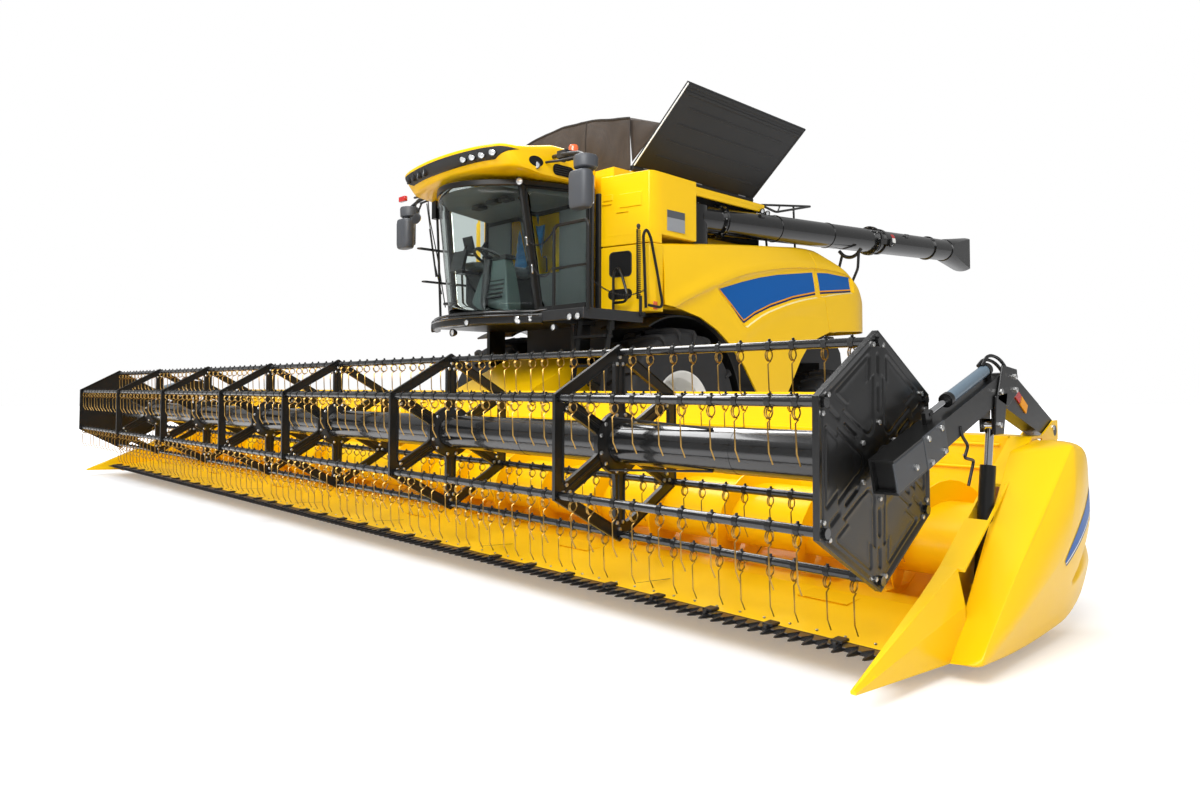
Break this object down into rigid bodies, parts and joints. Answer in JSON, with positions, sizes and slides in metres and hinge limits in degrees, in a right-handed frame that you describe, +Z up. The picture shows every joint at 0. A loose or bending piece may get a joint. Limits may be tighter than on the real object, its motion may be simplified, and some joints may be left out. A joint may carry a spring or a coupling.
{
  "type": "combine harvester with a wide reel header",
  "caption": "Self-propelled grain combine with cab, open grain tank, unloading auger and a wide cutting header with a feathering reel.",
  "frame": {"origin": "middle of the machine's footprint, on the floor", "axes": "-Y is forwards, +X is the machine's left, +Z is up"},
  "size_m": [13.3, 11.7694, 4.7567],
  "materials": {
    "yellow_paint": "glossy yellow enamel",
    "black_paint": "semi-gloss black enamel",
    "white_rim_paint": "white enamel",
    "tyre_rubber": "matt black rubber",
    "cab_glass": "green tinted glass",
    "black_plastic": "grained black plastic",
    "seat_cloth": "blue and black cloth",
    "cloth_cover": "coated black cloth",
    "cylinder_rod": "hard chrome",
    "engine_paint": "grey paint on cast iron",
    "frame_paint": "matt dark grey paint",
    "steel": "bare steel"
  },
  "bodies": {
    "machine": {"chassis": "frame_paint", "front_axle": "frame_paint", "rear_axle": "frame_paint", "cab_shell": "black_paint", "cab_glass": "cab_glass", "cab_roof": "yellow_paint", "cab_support": "black_paint", "operator_seat": "seat_cloth", "steering_column": "black_plastic", "side_console": "black_plastic", "grain_tank": "yellow_paint", "body_shell": "yellow_paint", "rear_hood": "yellow_paint", "engine_deck": "black_paint", "engine_block": "engine_paint", "threshing_body": "frame_paint", "platform": "black_paint", "mirrors": "black_plastic", "mudguards": "black_paint", "tank_cloths": "cloth_cover"},
    "front_left_wheel": {"front_left_tyre": "tyre_rubber", "front_left_rim": "white_rim_paint"},
    "front_right_wheel": {"front_right_tyre": "tyre_rubber", "front_right_rim": "white_rim_paint"},
    "left_knuckle": {"left_knuckle": "frame_paint"},
    "right_knuckle": {"right_knuckle": "frame_paint"},
    "tie_rod": {"tie_rod": "frame_paint"},
    "rear_left_wheel": {"rear_left_tyre": "tyre_rubber", "rear_left_rim": "white_rim_paint"},
    "rear_right_wheel": {"rear_right_tyre": "tyre_rubber", "rear_right_rim": "white_rim_paint"},
    "cab_door": {"cab_door": "black_paint", "door_glass": "cab_glass"},
    "left_tank_cover": {"left_tank_cover": "black_paint"},
    "right_tank_cover": {"right_tank_cover": "black_paint"},
    "left_side_shield": {"left_side_shield": "yellow_paint"},
    "right_side_shield": {"right_side_shield": "yellow_paint"},
    "ladder": {"ladder": "black_paint"},
    "unloading_auger": {"unloading_auger": "black_paint"},
    "header": {"feeder_house": "yellow_paint", "header_frame": "yellow_paint", "header_ends": "yellow_paint", "end_shields": "yellow_paint", "knife_bar": "steel"},
    "header_lift_barrels": {"header_lift_barrels": "black_paint"},
    "header_lift_rods": {"header_lift_rods": "cylinder_rod"},
    "header_auger": {"header_auger": "yellow_paint"},
    "reel_arms": {"reel_arms": "black_paint"},
    "reel_carriage": {"reel_carriages": "black_paint"},
    "reel": {"reel_tube": "black_paint", "reel_spiders": "black_paint"},
    "reel_eccentric": {"reel_eccentric": "black_paint"},
    "reel_lift_barrels": {"reel_lift_barrels": "black_paint"},
    "reel_lift_rods": {"reel_lift_rods": "cylinder_rod"},
    "bat_1": {"bat_1": "black_paint"},
    "bat_2": {"bat_2": "black_paint"},
    "bat_3": {"bat_3": "black_paint"},
    "bat_4": {"bat_4": "black_paint"},
    "bat_5": {"bat_5": "black_paint"},
    "bat_6": {"bat_6": "black_paint"}
  },
  "joints": [
    {"name": "front_left_wheel_spin", "type": "hinge", "parent": "machine", "child": "front_left_wheel", "pos_m": [1.375, -1.485, 1.02], "axis": [1, 0, 0], "continuous": true},
    {"name": "front_right_wheel_spin", "type": "hinge", "parent": "machine", "child": "front_right_wheel", "pos_m": [-1.375, -1.485, 1.02], "axis": [1, 0, 0], "continuous": true},
    {"name": "steering", "type": "hinge", "parent": "machine", "child": "left_knuckle", "pos_m": [0.85, 2.15, 0.8], "axis": [0, 0, 1], "range_deg": [-35, 35]},
    {"name": "right_knuckle_turn", "type": "hinge", "parent": "machine", "child": "right_knuckle", "pos_m": [-0.85, 2.15, 0.8], "axis": [0, 0, 1], "range_deg": [-35, 35]},
    {"name": "tie_rod_turn", "type": "hinge", "parent": "left_knuckle", "child": "tie_rod", "pos_m": [0.85, 2.45, 0.68], "axis": [0, 0, 1], "range_deg": [-35, 35]},
    {"name": "rear_left_wheel_spin", "type": "hinge", "parent": "left_knuckle", "child": "rear_left_wheel", "pos_m": [1.28, 2.15, 0.8], "axis": [1, 0, 0], "continuous": true},
    {"name": "rear_right_wheel_spin", "type": "hinge", "parent": "right_knuckle", "child": "rear_right_wheel", "pos_m": [-1.28, 2.15, 0.8], "axis": [1, 0, 0], "continuous": true},
    {"name": "cab_door_swing", "type": "hinge", "parent": "machine", "child": "cab_door", "pos_m": [1.029, -2.395, 2.87], "axis": [0, 0, 1], "range_deg": [0, 80]},
    {"name": "tank_covers", "type": "hinge", "parent": "machine", "child": "left_tank_cover", "pos_m": [1.22, -0.675, 3.9344], "axis": [0, -1, 0], "range_deg": [0, 136], "deforming": ["tank_cloths"]},
    {"name": "right_tank_cover_turn", "type": "hinge", "parent": "machine", "child": "right_tank_cover", "pos_m": [-1.22, -0.675, 3.9344], "axis": [0, 1, 0], "range_deg": [0, 136]},
    {"name": "left_side_shield_swing", "type": "hinge", "parent": "machine", "child": "left_side_shield", "pos_m": [1.785, 1.7, 2.2], "axis": [0, 0, 1], "range_deg": [0, 80]},
    {"name": "right_side_shield_swing", "type": "hinge", "parent": "machine", "child": "right_side_shield", "pos_m": [-1.785, 1.7, 2.2], "axis": [0, 0, -1], "range_deg": [0, 80]},
    {"name": "ladder_swing", "type": "hinge", "parent": "machine", "child": "ladder", "pos_m": [1.712, -2.7, 2.1], "axis": [0, 0, 1], "range_deg": [0, 90]},
    {"name": "unloading_auger_swing", "type": "hinge", "parent": "machine", "child": "unloading_auger", "pos_m": [1.39, -0.93, 2.95], "axis": [0, 0, -1], "range_deg": [0, 92]},
    {"name": "header_lift", "type": "hinge", "parent": "machine", "child": "header", "pos_m": [0, -1.95, 1.6], "axis": [-1, 0, 0], "range_deg": [0, 14]},
    {"name": "header_barrel_turn", "type": "hinge", "parent": "machine", "child": "header_lift_barrels", "pos_m": [0, -1.76, 0.64], "axis": [-1, 0, 0], "range_deg": [0, 12.9]},
    {"name": "header_rod_stroke", "type": "slide", "parent": "header_lift_barrels", "child": "header_lift_rods", "axis": [0, -0.997, -0.0773], "range_m": [0, 0.243]},
    {"name": "header_auger_spin", "type": "hinge", "parent": "header", "child": "header_auger", "pos_m": [0, -4.33, 0.5], "axis": [1, 0, 0], "continuous": true},
    {"name": "reel_lift", "type": "hinge", "parent": "header", "child": "reel_arms", "pos_m": [0, -3.58, 1.07], "axis": [-1, 0, 0], "range_deg": [0, 28]},
    {"name": "reel_barrel_turn", "type": "hinge", "parent": "header", "child": "reel_lift_barrels", "pos_m": [0, -4.54, 0.31], "axis": [-1, 0, 0], "range_deg": [0, 3.7]},
    {"name": "reel_rod_stroke", "type": "slide", "parent": "reel_lift_barrels", "child": "reel_lift_rods", "axis": [0, 0.1683, 0.9857], "range_m": [0, 0.405]},
    {"name": "reel_fore_aft", "type": "slide", "parent": "reel_arms", "child": "reel_carriage", "axis": [0, -0.9537, -0.3007], "range_m": [-0.15, 0.2]},
    {"name": "reel_spin", "type": "hinge", "parent": "reel_carriage", "child": "reel", "pos_m": [0, -5.385, 1], "axis": [1, 0, 0], "continuous": true},
    {"name": "reel_eccentric_spin", "type": "hinge", "parent": "reel_carriage", "child": "reel_eccentric", "pos_m": [-6.225, -5.34, 0.96], "axis": [1, 0, 0], "continuous": true},
    {"name": "bat_1_turn", "type": "hinge", "parent": "reel", "child": "bat_1", "pos_m": [0, -5.385, 1.527], "axis": [1, 0, 0], "continuous": true},
    {"name": "bat_2_turn", "type": "hinge", "parent": "reel", "child": "bat_2", "pos_m": [0, -5.8414, 1.2635], "axis": [1, 0, 0], "continuous": true},
    {"name": "bat_3_turn", "type": "hinge", "parent": "reel", "child": "bat_3", "pos_m": [0, -5.8414, 0.7365], "axis": [1, 0, 0], "continuous": true},
    {"name": "bat_4_turn", "type": "hinge", "parent": "reel", "child": "bat_4", "pos_m": [0, -5.385, 0.473], "axis": [1, 0, 0], "continuous": true},
    {"name": "bat_5_turn", "type": "hinge", "parent": "reel", "child": "bat_5", "pos_m": [0, -4.92861, 0.7365], "axis": [1, 0, 0], "continuous": true},
    {"name": "bat_6_turn", "type": "hinge", "parent": "reel", "child": "bat_6", "pos_m": [0, -4.92861, 1.2635], "axis": [1, 0, 0], "continuous": true}
  ],
  "couplings": [
    {"joint": "right_knuckle_turn", "follows": "steering", "ratio": 1},
    {"joint": "tie_rod_turn", "follows": "steering", "ratio": -1},
    {"joint": "right_tank_cover_turn", "follows": "tank_covers", "ratio": 1},
    {"joint": "header_barrel_turn", "follows": "header_lift", "ratio": 0.84784},
    {"joint": "header_rod_stroke", "follows": "header_lift", "m_per_rad": 0.95248},
    {"joint": "reel_barrel_turn", "follows": "reel_lift", "ratio": 0.09808},
    {"joint": "reel_rod_stroke", "follows": "reel_lift", "m_per_rad": 0.80798},
    {"joint": "reel_eccentric_spin", "follows": "reel_spin", "ratio": 1},
    {"joint": "bat_1_turn", "follows": "reel_spin", "ratio": -1},
    {"joint": "bat_2_turn", "follows": "reel_spin", "ratio": -1},
    {"joint": "bat_3_turn", "follows": "reel_spin", "ratio": -1},
    {"joint": "bat_4_turn", "follows": "reel_spin", "ratio": -1},
    {"joint": "bat_5_turn", "follows": "reel_spin", "ratio": -1},
    {"joint": "bat_6_turn", "follows": "reel_spin", "ratio": -1}
  ]
}
